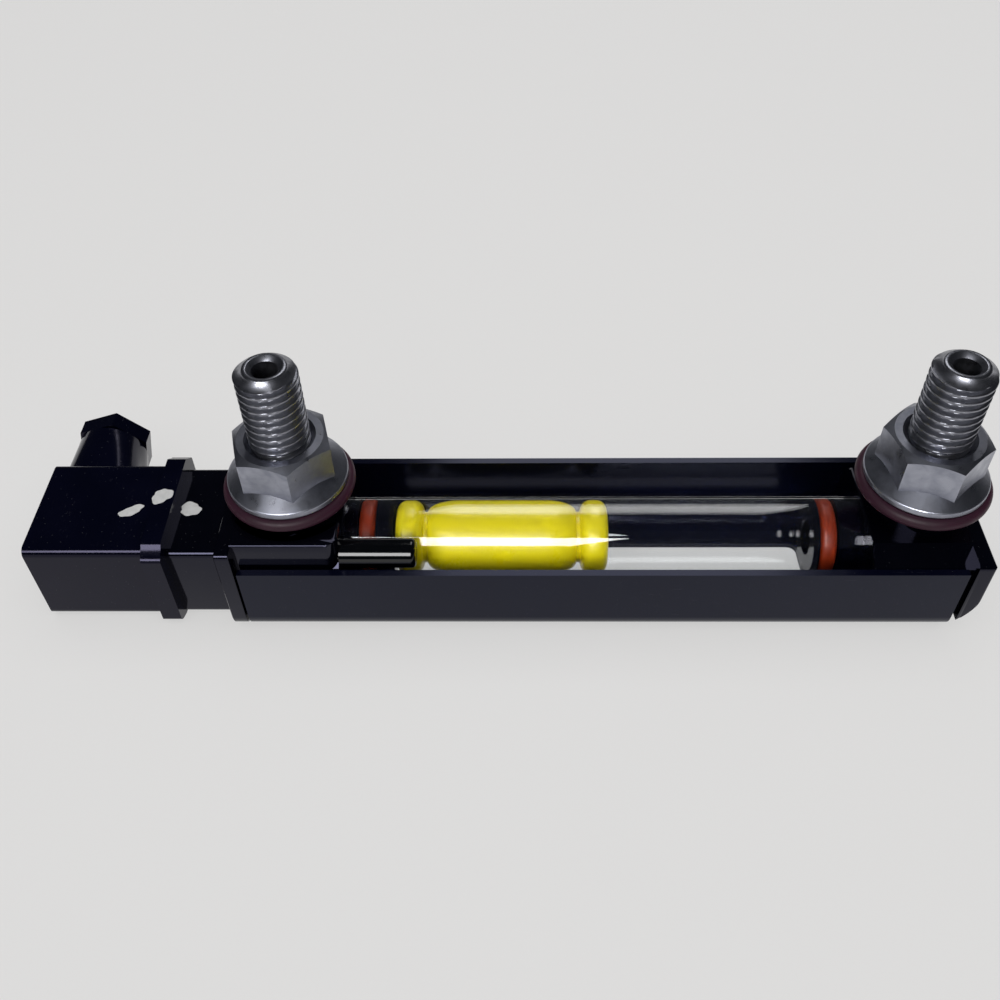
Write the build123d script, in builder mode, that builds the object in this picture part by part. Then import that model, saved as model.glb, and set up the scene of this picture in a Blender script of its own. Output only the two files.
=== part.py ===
import os
from math import sqrt

from build123d import *

# Tank level gauge: a sight tube with a float between two end blocks, held in a
# sheet cover, with a reed switch beside the tube and a plug connection.
# X runs along the gauge with the plug at the lower, negative end, Y across it,
# and Z along the hollow bolts towards the tank wall. The front face of the cover
# lies on Z = 0, and the origin is midway between the two bolt axes.

# ---- driving dimensions, mm ----
bolt_spacing = 127.0

cover_width = 33.0
cover_height = 18.2
cover_sheet = 1.5
cover_bend = 4.5
lower_cover_reach = 10.0
upper_cover_reach = 7.9
window_length = 88.0
window_width = 12.0
window_corner = 2.0

tube_height = 13.0
tube_radius = 9.0
tube_wall = 1.75
tube_length = 110.0
tube_seat_clearance = 0.1

block_width = 28.6
block_top = 24.7
block_reach = 10.4
block_corner = 3.2
block_edge = 0.8
collar_gap = 0.4
lower_collar_top = 24.0
upper_collar_top = 24.7
collar_edge = 1.2
lower_collar_length = 3.1
upper_collar_length = 4.2
upper_end_round = 5.5
boss_radius = 13.0
boss_height = 2.2
boss_thickness = 4.5

spigot_length = 9.8
spigot_clearance = 0.1
spigot_chamfer = 0.8
passage_radius = 3.5
ring_groove_position = 3.1
ring_groove_width = 3.8
ring_groove_depth = 2.65
tube_ring_width = 3.4
tube_ring_round = 1.2

neck_width = 24.6
neck_bottom = 0.6
neck_top = 20.0
neck_length = 11.5
neck_edge = 1.5
neck_cavity_width = 17.0
neck_cavity_height = 13.0
neck_cavity_depth = 12.5

thread_radius = 6.0
thread_pitch_radius = 5.43
bolt_top = 58.1
bolt_bore_radius = 2.5
bolt_bore_bottom = 9.0
bolt_mouth_radius = 3.3
bolt_tip_radius = 4.4
bolt_tip_length = 1.9
bolt_tip_round = 0.7
bolt_waist_radius = 4.9
bolt_waist_length = 7.0
bolt_waist_taper = 1.0
cross_hole_radius = 1.5
head_radius = 10.0
head_recess = 0.2
socket_width = 8.0
socket_depth = 3.8
bolt_clearance = 0.2
shank_ring_section = 2.0
shank_ring_height = 7.0
shank_ring_play = 0.2

seal_ring_radius = 13.28
seal_ring_thickness = 2.7
seal_ring_clearance = 0.3

nut_width = 18.0
nut_height = 11.1
nut_flange_radius = 12.1
nut_flange_rim = 1.5
nut_flange_rise = 2.2
nut_face_radius = 8.5
nut_chamfer_drop = 1.1
nut_sink_radius = 7.0
nut_rim_round = 0.5
lower_nut_turn = 45.0
upper_nut_turn = 42.0

float_length = 44.3
float_radius = 6.95
float_stop_gap = 0.3
float_bead_width = 5.2
float_bead_round = 2.2
float_groove_radius = 4.7
float_groove_width = 0.9
float_shoulder = 6.5
float_wall = 1.0
float_pocket_radius = 3.6
float_magnet_length = 6.0
float_plug_length = 2.4
float_magnet_bore = 1.5
float_pocket_fit = 0.05
float_ledge = 0.8

reed_offset = 11.0
reed_height = 18.7
reed_radius = 3.0
reed_length = 15.2
reed_end_round = 0.9
reed_bore_radius = 1.7
reed_end_wall = 1.2
reed_stem_radius = 2.2
reed_stem_length = 5.0
reed_stem_clearance = 0.05
capsule_clearance = 0.05
capsule_length = 12.5
lead_radius = 0.4
lead_spacing = 0.9
lead_bend = 1.5
duct_radius = 1.4
duct_end_offset = 5.5
duct_end_height = 14.0
duct_overrun = 1.0
duct_lead_in = 2.0
same_radius = 0.01

base_thickness = 4.0
base_width = 26.8
base_height = 22.0
base_corner = 2.0
base_spigot_length = 5.5
base_spigot_width = 18.0
base_spigot_height = 14.0
base_plug_depth = 3.0
base_fit = 0.15

plug_length = 24.7
plug_width = 25.26
plug_bottom = 0.2
plug_top = 21.0
plug_edge = 1.8
plug_wall = 1.8
gasket_thickness = 1.2
gasket_ledge = 0.6
gasket_clearance = 0.1
insert_length = 12.0
insert_width = 18.0
insert_height = 14.0
pin_width = 5.0
pin_thickness = 0.9
pin_spacing = 10.0
pin_reach = 9.0
pin_tail = 4.5
blade_rise = 0.7
earth_drop = 5.1
terminal_screw_radius = 1.0
terminal_screw_depth = 2.4
terminal_head_radius = 1.6
terminal_head_height = 1.6
plug_screw_radius = 1.5
plug_screw_core = 1.3
plug_screw_clearance = 0.2
plug_screw_head_radius = 2.75
plug_screw_head_height = 2.0
plug_screw_slot = 0.8
plug_screw_engagement = 5.0
screw_column_radius = 2.6
screw_boss_radius = 4.2
screw_pocket_radius = 3.1

gland_from_end = 6.6
gland_height = 12.0
neck_base_width = 16.4
neck_base_height = 18.0
neck_base_corner = 5.0
neck_base_shift = -1.6
gland_neck_length = 12.6
gland_neck_radius = 7.6
gland_stub_radius = 6.3
gland_stub_length = 3.2
gland_bore_radius = 5.2
gland_bore_depth = 8.0
cable_hole_radius = 3.6
gland_nut_width = 14.6
gland_nut_length = 4.8
gland_nut_wall = 1.6
gland_nut_turn = 42.0
gland_gap = 0.3
gland_washer_thickness = 0.8
gland_clearance = 0.05
gland_seal_bore = 3.3
gland_nut_edge = 0.6

# ---- places that follow from the sizes ----
half_spacing = bolt_spacing / 2
tube_bore_radius = tube_radius - tube_wall
block_face = half_spacing - block_reach
spigot_radius = tube_bore_radius - spigot_clearance
spigot_end = block_face - spigot_length
boss_top = block_top + boss_height
seal_ring_top = boss_top + seal_ring_thickness
nut_top = seal_ring_top + nut_height
bolt_hole_radius = thread_radius + bolt_clearance
lower_cover_end = half_spacing + lower_cover_reach
upper_cover_end = half_spacing + upper_cover_reach
lower_collar_start = lower_cover_end + collar_gap
upper_collar_start = upper_cover_end + collar_gap
lower_collar_end = lower_collar_start + lower_collar_length
upper_collar_end = upper_collar_start + upper_collar_length
neck_end = lower_collar_end + neck_length
neck_middle = (neck_bottom + neck_top) / 2
float_start = -spigot_end + float_stop_gap
base_end = neck_end + base_thickness
plug_end = base_end + plug_length
plug_middle = (plug_bottom + plug_top) / 2
gland_place = -(plug_end - gland_from_end)
gland_neck_end = plug_width / 2 + gland_neck_length
gland_stub_end = gland_neck_end + gland_stub_length

duct_start = Vector(-(block_face + reed_stem_length), -reed_offset, reed_height)
duct_end = Vector(
    -(neck_end - neck_cavity_depth + duct_overrun), -duct_end_offset, duct_end_height
)
duct_direction = (duct_end - duct_start).normalized()
blade_height = plug_middle + blade_rise
earth_height = plug_middle - earth_drop

os.makedirs("parts", exist_ok=True)


def save(piece, label):
    # label a finished piece and write it as one STEP file
    piece.part.label = label
    export_step(piece.part, f"parts/{label}.step")


def bolt_plane(side):
    # upright plane through a bolt axis: local x is the radius, local y the height
    return Plane(origin=(side * half_spacing, 0, 0), x_dir=(1, 0, 0), z_dir=(0, -1, 0))


def bolt_axis(side):
    return Axis((side * half_spacing, 0, 0), (0, 0, 1))


def end_plane(side, distance):
    # plane across the gauge, facing away from its middle: local y is the height
    return Plane(origin=(side * distance, 0, 0), x_dir=(0, side, 0), z_dir=(side, 0, 0))


# upright plane along the tube: local x is X, local y the distance from its axis
tube_plane = Plane(origin=(0, 0, tube_height), x_dir=(1, 0, 0), z_dir=(0, -1, 0))
tube_axis = Axis((0, 0, tube_height), (1, 0, 0))


def rounded_profile(plane, width, bottom, top, low_corner, high_corner):
    # upright rectangle with its lower and upper corners rounded differently
    with BuildSketch(plane) as profile:
        with Locations((0, (bottom + top) / 2)):
            shape = Rectangle(width, top - bottom)
        corners = shape.vertices().group_by(Axis.Y)
        fillet(corners[0], low_corner)
        fillet(corners[-1], high_corner)
    return profile.sketch


def outline(plane, *points):
    # closed outline of straight lines
    with BuildSketch(plane) as profile:
        with BuildLine():
            Polyline(*points, close=True)
        make_face()
    return profile.sketch


def disc(plane, radius, across=0, up=0):
    with BuildSketch(plane) as profile:
        with Locations((across, up)):
            Circle(radius)
    return profile.sketch


# ---- cover channel ----
with BuildPart() as cover_channel:
    with BuildSketch(end_plane(1, -lower_cover_end)):
        with BuildLine():
            outer = FilletPolyline(
                (-cover_width / 2, cover_height),
                (-cover_width / 2, 0),
                (cover_width / 2, 0),
                (cover_width / 2, cover_height),
                radius=cover_bend,
            )
            offset(outer, amount=cover_sheet, side=Side.LEFT)
        make_face()
    extrude(amount=lower_cover_end + upper_cover_end)
    with BuildSketch(Plane.XY):
        RectangleRounded(window_length, window_width, window_corner)
    extrude(amount=cover_sheet, mode=Mode.SUBTRACT)
    for side in (-1, 1):
        cone = outline(
            bolt_plane(side),
            (0, 0),
            (head_radius + head_recess, 0),
            (head_radius + head_recess - cover_sheet, cover_sheet),
            (0, cover_sheet),
        )
        revolve(cone, axis=bolt_axis(side), mode=Mode.SUBTRACT)
save(cover_channel, "cover_channel")


# ---- end blocks ----
def block_body(side, collar_start, collar_end, collar_top):
    # body on the cover's web, collar past the cover's end, console for the seal ring
    with BuildPart() as body:
        extrude(
            rounded_profile(
                end_plane(side, block_face),
                block_width,
                cover_sheet,
                block_top,
                block_corner,
                block_edge,
            ),
            amount=collar_start - block_face,
        )
        extrude(
            rounded_profile(
                end_plane(side, collar_start), cover_width, 0, collar_top, cover_bend, collar_edge
            ),
            amount=collar_end - collar_start,
        )
        with BuildSketch(Plane.XY.offset(boss_top)):
            with Locations((side * half_spacing, 0)):
                Circle(boss_radius)
            with Locations((side * (collar_end + boss_radius), 0)):
                Rectangle(2 * boss_radius, 2 * boss_radius, mode=Mode.SUBTRACT)
        extrude(amount=-boss_thickness)
    return body.part


def spigot(side):
    # turned stub that carries the tube, with the groove for its ring
    groove = block_face - ring_groove_position
    half_groove = ring_groove_width / 2
    groove_radius = tube_bore_radius - ring_groove_depth
    section = outline(
        tube_plane,
        (side * tube_length / 2, 0),
        (side * tube_length / 2, spigot_radius),
        (side * (groove + half_groove), spigot_radius),
        (side * (groove + half_groove), groove_radius),
        (side * (groove - half_groove), groove_radius),
        (side * (groove - half_groove), spigot_radius),
        (side * (spigot_end + spigot_chamfer), spigot_radius),
        (side * spigot_end, spigot_radius - spigot_chamfer),
        (side * spigot_end, 0),
    )
    return revolve(section, axis=tube_axis, mode=Mode.PRIVATE)


def bolt_hole(side):
    # bolt hole with the cone for the head and the groove for the shank ring
    cone_radius = head_radius + head_recess
    groove_half = shank_ring_section / 2 + shank_ring_play
    groove_radius = thread_radius + shank_ring_section
    section = outline(
        bolt_plane(side),
        (0, 0),
        (cone_radius, 0),
        (bolt_hole_radius, cone_radius - bolt_hole_radius),
        (bolt_hole_radius, shank_ring_height - groove_half),
        (groove_radius, shank_ring_height - groove_half),
        (groove_radius, shank_ring_height + groove_half),
        (bolt_hole_radius, shank_ring_height + groove_half),
        (bolt_hole_radius, boss_top),
        (0, boss_top),
    )
    return revolve(section, axis=bolt_axis(side), mode=Mode.PRIVATE)


def end_block(side, collar_start, collar_end, collar_top):
    # whole block: body, tube seat, spigot, bolt hole and the oil passage between them
    seat_depth = tube_length / 2 - block_face
    seat = disc(end_plane(side, block_face), tube_radius + tube_seat_clearance, 0, tube_height)
    passage = disc(end_plane(side, spigot_end), passage_radius, 0, tube_height)
    with BuildPart() as block:
        add(block_body(side, collar_start, collar_end, collar_top))
        extrude(seat, amount=seat_depth, mode=Mode.SUBTRACT)
        add(spigot(side))
        add(bolt_hole(side), mode=Mode.SUBTRACT)
        extrude(passage, amount=half_spacing - spigot_end, mode=Mode.SUBTRACT)
    return block.part


with BuildPart() as lower_end_block:
    add(end_block(-1, lower_collar_start, lower_collar_end, lower_collar_top))
    neck = rounded_profile(
        end_plane(-1, lower_collar_end), neck_width, neck_bottom, neck_top, neck_edge, neck_edge
    )
    extrude(neck, amount=neck_length)
    # cavity for the leads behind the plug connection, and the duct that leads to it
    with BuildSketch(end_plane(-1, neck_end)):
        with Locations((0, neck_middle)):
            RectangleRounded(neck_cavity_width, neck_cavity_height, neck_edge)
    extrude(amount=-neck_cavity_depth, mode=Mode.SUBTRACT)
    stem_seat = disc(
        end_plane(-1, block_face), reed_stem_radius + reed_stem_clearance, reed_offset, reed_height
    )
    extrude(stem_seat, amount=reed_stem_length, mode=Mode.SUBTRACT)
    duct_plane = Plane(origin=duct_start - duct_direction * duct_lead_in, z_dir=duct_direction)
    duct_length = (duct_end - duct_start).length + duct_lead_in
    extrude(disc(duct_plane, duct_radius), amount=duct_length, mode=Mode.SUBTRACT)
save(lower_end_block, "lower_end_block")

with BuildPart() as upper_end_block:
    add(end_block(1, upper_collar_start, upper_collar_end, upper_collar_top))
    # the lower end edge is rounded right across
    with BuildSketch(Plane.XZ):
        with BuildLine():
            corner = (upper_collar_end, 0)
            along = (upper_collar_end - upper_end_round, 0)
            above = (upper_collar_end, upper_end_round)
            Line(corner, along)
            RadiusArc(along, above, -upper_end_round)
            Line(above, corner)
        make_face()
    extrude(amount=cover_width, both=True, mode=Mode.SUBTRACT)
save(upper_end_block, "upper_end_block")


# ---- hollow bolts, nuts and rings at each bolt axis ----
def hollow_bolt(side):
    waist_low = tube_height - bolt_waist_length / 2
    waist_high = tube_height + bolt_waist_length / 2
    section = outline(
        bolt_plane(side),
        (0, head_recess),
        (head_radius, head_recess),
        (thread_radius, head_recess + head_radius - thread_radius),
        (thread_radius, waist_low - bolt_waist_taper),
        (bolt_waist_radius, waist_low),
        (bolt_waist_radius, waist_high),
        (thread_radius, waist_high + bolt_waist_taper),
        (thread_radius, seal_ring_top),
        (thread_pitch_radius, seal_ring_top),
        (thread_pitch_radius, nut_top),
        (thread_radius, nut_top),
        (thread_radius, bolt_top - bolt_tip_length),
        (bolt_tip_radius, bolt_top),
        (0, bolt_top),
    )
    bore = outline(
        bolt_plane(side),
        (0, bolt_bore_bottom),
        (bolt_bore_radius, bolt_bore_bottom),
        (bolt_bore_radius, bolt_top - (bolt_mouth_radius - bolt_bore_radius)),
        (bolt_mouth_radius, bolt_top),
        (0, bolt_top),
    )
    with BuildPart() as bolt:
        revolve(section, axis=bolt_axis(side))
        tip_edges = bolt.edges().filter_by(GeomType.CIRCLE).sort_by(Axis.Z)[-2:]
        fillet(tip_edges, bolt_tip_round)
        revolve(bore, axis=bolt_axis(side), mode=Mode.SUBTRACT)
        # hexagon socket in the head
        with BuildSketch(Plane.XY.offset(head_recess)):
            with Locations((side * half_spacing, 0)):
                RegularPolygon(socket_width / 2, 6, major_radius=False)
        extrude(amount=socket_depth, mode=Mode.SUBTRACT)
        # cross hole between the bore and the waist
        cross_hole = disc(end_plane(1, side * half_spacing), cross_hole_radius, 0, tube_height)
        extrude(cross_hole, amount=thread_radius, both=True, mode=Mode.SUBTRACT)
    return bolt


def flange_nut(side, turn):
    corner_radius = nut_width / sqrt(3)
    flange_top = seal_ring_top + nut_flange_rim + nut_flange_rise
    flange = outline(
        bolt_plane(side),
        (0, seal_ring_top),
        (nut_flange_radius, seal_ring_top),
        (nut_flange_radius, seal_ring_top + nut_flange_rim),
        (nut_width / 2, flange_top),
        (0, flange_top),
    )
    corner_cut = outline(
        bolt_plane(side),
        (nut_face_radius, nut_top),
        (corner_radius + nut_chamfer_drop, nut_top),
        (corner_radius + nut_chamfer_drop, nut_top - 2 * nut_chamfer_drop),
        (corner_radius, nut_top - nut_chamfer_drop),
    )
    sink_depth = nut_sink_radius - thread_pitch_radius
    hole = outline(
        bolt_plane(side),
        (0, seal_ring_top),
        (thread_pitch_radius, seal_ring_top),
        (thread_pitch_radius, nut_top - sink_depth),
        (nut_sink_radius, nut_top),
        (0, nut_top),
    )
    with BuildPart() as nut:
        with BuildSketch(Plane.XY.offset(seal_ring_top)):
            with Locations((side * half_spacing, 0)):
                RegularPolygon(corner_radius, 6, rotation=turn)
        extrude(amount=nut_height)
        revolve(corner_cut, axis=bolt_axis(side), mode=Mode.SUBTRACT)
        revolve(flange, axis=bolt_axis(side))
        rim = nut.edges().filter_by(GeomType.CIRCLE).filter_by(
            lambda edge: abs(edge.radius - nut_flange_radius) < same_radius
        )
        fillet(rim, nut_rim_round)
        revolve(hole, axis=bolt_axis(side), mode=Mode.SUBTRACT)
    return nut


def seal_ring(side):
    # flat ring with a full round outer edge
    inner = thread_radius + seal_ring_clearance
    round_radius = seal_ring_thickness / 2
    with BuildPart() as ring:
        with BuildSketch(bolt_plane(side)):
            with BuildLine():
                low = (seal_ring_radius - round_radius, boss_top)
                outermost = (seal_ring_radius, boss_top + round_radius)
                high = (seal_ring_radius - round_radius, seal_ring_top)
                ThreePointArc(low, outermost, high)
                Polyline(high, (inner, seal_ring_top), (inner, boss_top), low)
            make_face()
        revolve(axis=bolt_axis(side))
    return ring


def shank_ring(side):
    with BuildPart() as ring:
        with BuildSketch(bolt_plane(side)):
            with Locations((thread_radius + shank_ring_section / 2, shank_ring_height)):
                Circle(shank_ring_section / 2)
        revolve(axis=bolt_axis(side))
    return ring


def tube_ring(side):
    # ring pressed flat between the groove's floor and the tube
    centre = side * (block_face - ring_groove_position)
    with BuildPart() as ring:
        with BuildSketch(tube_plane):
            with Locations((centre, tube_bore_radius - ring_groove_depth / 2)):
                RectangleRounded(tube_ring_width, ring_groove_depth, tube_ring_round)
        revolve(axis=tube_axis)
    return ring


for side, end, turn in ((-1, "lower", lower_nut_turn), (1, "upper", upper_nut_turn)):
    save(hollow_bolt(side), f"{end}_hollow_bolt")
    save(flange_nut(side, turn), f"{end}_flange_nut")
    save(seal_ring(side), f"{end}_seal_ring")
    save(shank_ring(side), f"{end}_shank_oring")
    save(tube_ring(side), f"{end}_tube_oring")


# ---- sight tube and float ----
with BuildPart() as sight_tube:
    with BuildSketch(end_plane(-1, tube_length / 2)):
        with Locations((0, tube_height)):
            Circle(tube_radius)
            Circle(tube_bore_radius, mode=Mode.SUBTRACT)
    extrude(amount=-tube_length)
save(sight_tube, "sight_tube")

float_plane = tube_plane.shift_origin((float_start + float_length / 2, 0, tube_height))
float_half = float_length / 2
magnet_start = -float_half + float_plug_length
magnet_end = magnet_start + float_magnet_length

with BuildPart() as float_body:
    with BuildSketch(float_plane):
        with BuildLine():
            bead_end = float_bead_width - float_half
            shoulder_start = bead_end + float_groove_width
            shoulder_end = shoulder_start + float_shoulder
            Polyline(
                (-float_half, 0),
                (-float_half, float_radius),
                (bead_end, float_radius),
                (bead_end, float_groove_radius),
                (shoulder_start, float_groove_radius),
            )
            TangentArc(
                (shoulder_end, float_radius), (shoulder_start, float_groove_radius), tangent=(-1, 0)
            )
            Line((shoulder_end, float_radius), (0, float_radius))
            mirror(about=Plane.YZ)
            Line((-float_half, 0), (float_half, 0))
        make_face()
    revolve(axis=tube_axis)
    rims = float_body.edges().filter_by(GeomType.CIRCLE).filter_by(
        lambda edge: abs(edge.radius - float_radius) < same_radius
    )
    rims = rims.sort_by(Axis.X)
    fillet(rims[:2] + rims[-2:], float_bead_round)
    # pocket for the magnet and the plug, then the air chamber
    chamber_radius = float_radius - float_wall
    hollow = outline(
        float_plane,
        (-float_half, 0),
        (-float_half, float_pocket_radius),
        (magnet_end, float_pocket_radius),
        (magnet_end, float_pocket_radius - float_ledge),
        (shoulder_start + float_groove_width + float_ledge, float_pocket_radius - float_ledge),
        (shoulder_end, chamber_radius),
        (-shoulder_end, chamber_radius),
        (-shoulder_start, float_pocket_radius - float_ledge),
        (float_half - float_wall, float_pocket_radius - float_ledge),
        (float_half - float_wall, 0),
    )
    revolve(hollow, axis=tube_axis, mode=Mode.SUBTRACT)
save(float_body, "float_body")

with BuildPart() as float_magnet:
    with BuildSketch(end_plane(1, float_start + float_plug_length)):
        with Locations((0, tube_height)):
            Circle(float_pocket_radius - float_pocket_fit)
            Circle(float_magnet_bore, mode=Mode.SUBTRACT)
    extrude(amount=float_magnet_length)
save(float_magnet, "float_magnet")

with BuildPart() as float_plug:
    face = disc(end_plane(1, float_start), float_pocket_radius - float_pocket_fit, 0, tube_height)
    extrude(face, amount=float_plug_length)
save(float_plug, "float_plug")


# ---- reed switch in its tube ----
reed_tip = -(block_face - reed_length)
capsule_end = reed_tip - reed_end_wall
capsule_start = capsule_end - capsule_length

with BuildPart() as reed_tube:
    body = disc(end_plane(-1, -reed_tip), reed_radius, reed_offset, reed_height)
    extrude(body, amount=reed_length)
    fillet(reed_tube.edges().group_by(Axis.X)[-1], reed_end_round)
    stem = disc(end_plane(-1, block_face), reed_stem_radius, reed_offset, reed_height)
    extrude(stem, amount=reed_stem_length)
    bore = disc(end_plane(-1, -capsule_end), reed_bore_radius, reed_offset, reed_height)
    extrude(bore, amount=capsule_length, mode=Mode.SUBTRACT)
    lead_way = disc(end_plane(-1, -capsule_start), duct_radius, reed_offset, reed_height)
    extrude(lead_way, amount=reed_length + reed_stem_length, mode=Mode.SUBTRACT)
save(reed_tube, "reed_tube")

with BuildPart() as reed_capsule:
    body = disc(
        end_plane(-1, -capsule_end), reed_bore_radius - capsule_clearance, reed_offset, reed_height
    )
    extrude(body, amount=capsule_length)
    fillet(reed_capsule.edges().group_by(Axis.X)[-1], reed_end_round)
save(reed_capsule, "reed_capsule")

with BuildPart() as reed_leads:
    for level in (-1, 1):
        shift = Vector(0, 0, level * lead_spacing / 2)
        pin_end = Vector(-(neck_end - pin_tail), level * pin_spacing / 2, blade_height)
        start = Vector(capsule_start, -reed_offset, reed_height) + shift
        with BuildLine() as route:
            FilletPolyline(
                start,
                duct_start + shift,
                duct_end + shift,
                pin_end + Vector(2 * lead_bend, 0, 0),
                pin_end,
                radius=lead_bend,
            )
        with BuildSketch(Plane(origin=start, z_dir=(-1, 0, 0))):
            Circle(lead_radius)
        sweep(path=route.wire())
save(reed_leads, "reed_leads")


# ---- plug connection ----
def rounded_block(distance, length, width, height, corner, middle):
    # rounded rectangle of the connection, extruded away from the gauge
    with BuildSketch(end_plane(-1, distance)) as profile:
        with Locations((0, middle)):
            RectangleRounded(width, height, corner)
    return extrude(profile.sketch, amount=length, mode=Mode.PRIVATE)


blade_tail = neck_end - pin_tail
blade_end = base_end + base_spigot_length + pin_reach
insert_start = base_end + base_spigot_length
insert_end = insert_start + insert_length
blade_places = (
    (pin_spacing / 2, blade_height, pin_thickness, pin_width),
    (-pin_spacing / 2, blade_height, pin_thickness, pin_width),
    (0, earth_height, pin_width, pin_thickness),
)


def blades(distance, length, play):
    # the two contact blades and the earth blade, or the slots for them
    with BuildSketch(end_plane(-1, distance)) as profile:
        for across, up, width, height in blade_places:
            with Locations((across, up)):
                Rectangle(width + 2 * play, height + 2 * play)
    return extrude(profile.sketch, amount=length, mode=Mode.PRIVATE)


def screw_way(distance, length, radius):
    return extrude(disc(end_plane(-1, distance), radius, 0, plug_middle), amount=length, mode=Mode.PRIVATE)


with BuildPart() as contact_pins:
    add(blades(blade_tail, blade_end - blade_tail, 0))
save(contact_pins, "contact_pins")

with BuildPart() as connector_base:
    add(rounded_block(neck_end, base_thickness, base_width, base_height, base_corner, base_height / 2))
    add(
        rounded_block(
            base_end,
            base_spigot_length,
            base_spigot_width,
            base_spigot_height,
            neck_edge,
            plug_middle,
        )
    )
    add(
        rounded_block(
            neck_end - base_plug_depth,
            base_plug_depth,
            neck_cavity_width - 2 * base_fit,
            neck_cavity_height - 2 * base_fit,
            neck_edge,
            neck_middle,
        )
    )
    add(blades(blade_tail, blade_end - blade_tail, 0), mode=Mode.SUBTRACT)
    add(
        screw_way(insert_start - plug_screw_engagement, plug_screw_engagement, plug_screw_core),
        mode=Mode.SUBTRACT,
    )
save(connector_base, "connector_base")

gasket_width = plug_width - 2 * plug_wall + 2 * gasket_ledge
gasket_height = plug_top - plug_bottom - 2 * plug_wall + 2 * gasket_ledge

with BuildPart() as profile_gasket:
    add(
        rounded_block(
            base_end,
            gasket_thickness,
            gasket_width - 2 * gasket_clearance,
            gasket_height - 2 * gasket_clearance,
            neck_edge,
            plug_middle,
        )
    )
    add(
        rounded_block(
            base_end,
            gasket_thickness,
            base_spigot_width + 2 * gasket_clearance,
            base_spigot_height + 2 * gasket_clearance,
            neck_edge,
            plug_middle,
        ),
        mode=Mode.SUBTRACT,
    )
save(profile_gasket, "profile_gasket")

screw_seat = plug_end - head_recess - plug_screw_head_height


def across_plane(distance):
    # plane across the cable gland's axis, facing out of the gland
    return Plane(origin=(gland_place, distance, gland_height), x_dir=(-1, 0, 0), z_dir=(0, 1, 0))


with BuildPart() as plug_housing:
    add(rounded_block(base_end, plug_length, plug_width, plug_top - plug_bottom, plug_edge, plug_middle))
    # gland neck, from a rounded rectangle on the housing to the round stub
    with BuildSketch(across_plane(plug_width / 2)):
        with Locations((neck_base_shift, plug_middle - gland_height)):
            RectangleRounded(neck_base_width, neck_base_height, neck_base_corner)
    with BuildSketch(across_plane(gland_neck_end)):
        Circle(gland_neck_radius)
    loft()
    extrude(
        disc(across_plane(gland_neck_end), gland_stub_radius),
        amount=gland_stub_length,
    )
    add(
        rounded_block(
            base_end,
            plug_length - plug_wall,
            plug_width - 2 * plug_wall,
            plug_top - plug_bottom - 2 * plug_wall,
            plug_edge / 2,
            plug_middle,
        ),
        mode=Mode.SUBTRACT,
    )
    add(
        rounded_block(
            base_end, gasket_thickness, gasket_width, gasket_height, neck_edge, plug_middle
        ),
        mode=Mode.SUBTRACT,
    )
    # column for the long screw, down to the terminal insert
    add(screw_way(insert_end, plug_end - insert_end - plug_wall, screw_column_radius))
    add(screw_way(screw_seat - plug_wall, plug_end - screw_seat, screw_boss_radius))
    add(screw_way(screw_seat, plug_end - screw_seat, screw_pocket_radius), mode=Mode.SUBTRACT)
    add(
        screw_way(insert_end, plug_end - insert_end, plug_screw_radius + plug_screw_clearance),
        mode=Mode.SUBTRACT,
    )
    # bore for the cable seal and the way in for the cable
    extrude(
        disc(across_plane(gland_stub_end), gland_bore_radius),
        amount=-gland_bore_depth,
        mode=Mode.SUBTRACT,
    )
    extrude(
        disc(across_plane(gland_stub_end), cable_hole_radius),
        amount=-(gland_stub_end - plug_width / 2 + plug_wall),
        mode=Mode.SUBTRACT,
    )
save(plug_housing, "plug_housing")

with BuildPart() as terminal_insert:
    add(rounded_block(insert_start, insert_length, insert_width, insert_height, neck_edge, plug_middle))
    add(blades(insert_start, pin_reach + gasket_clearance, gasket_clearance), mode=Mode.SUBTRACT)
    add(
        screw_way(insert_start, insert_length, plug_screw_radius + plug_screw_clearance),
        mode=Mode.SUBTRACT,
    )
    for across, up, _, _ in blade_places:
        extrude(
            disc(end_plane(-1, insert_end), terminal_screw_radius, across, up),
            amount=-terminal_screw_depth,
            mode=Mode.SUBTRACT,
        )
save(terminal_insert, "terminal_insert")

with BuildPart() as terminal_screws:
    for across, up, _, _ in blade_places:
        extrude(
            disc(end_plane(-1, insert_end), terminal_screw_radius, across, up),
            amount=-terminal_screw_depth,
        )
        extrude(
            disc(end_plane(-1, insert_end), terminal_head_radius, across, up),
            amount=terminal_head_height,
        )
save(terminal_screws, "terminal_screws")

with BuildPart() as plug_screw:
    add(screw_way(insert_start - plug_screw_engagement, plug_screw_engagement, plug_screw_core))
    add(screw_way(insert_start, screw_seat - insert_start, plug_screw_radius))
    add(screw_way(screw_seat, plug_screw_head_height, plug_screw_head_radius))
    with BuildSketch(end_plane(-1, screw_seat + plug_screw_head_height)):
        with Locations((0, plug_middle)):
            Rectangle(2 * plug_screw_head_radius, plug_screw_slot)
    extrude(amount=-plug_screw_head_height / 2, mode=Mode.SUBTRACT)
save(plug_screw, "plug_screw")


# ---- cable gland ----
gland_nut_start = gland_neck_end + gland_gap
gland_nut_end = gland_stub_end + gland_nut_wall
seal_end = gland_stub_end - gland_washer_thickness

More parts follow.
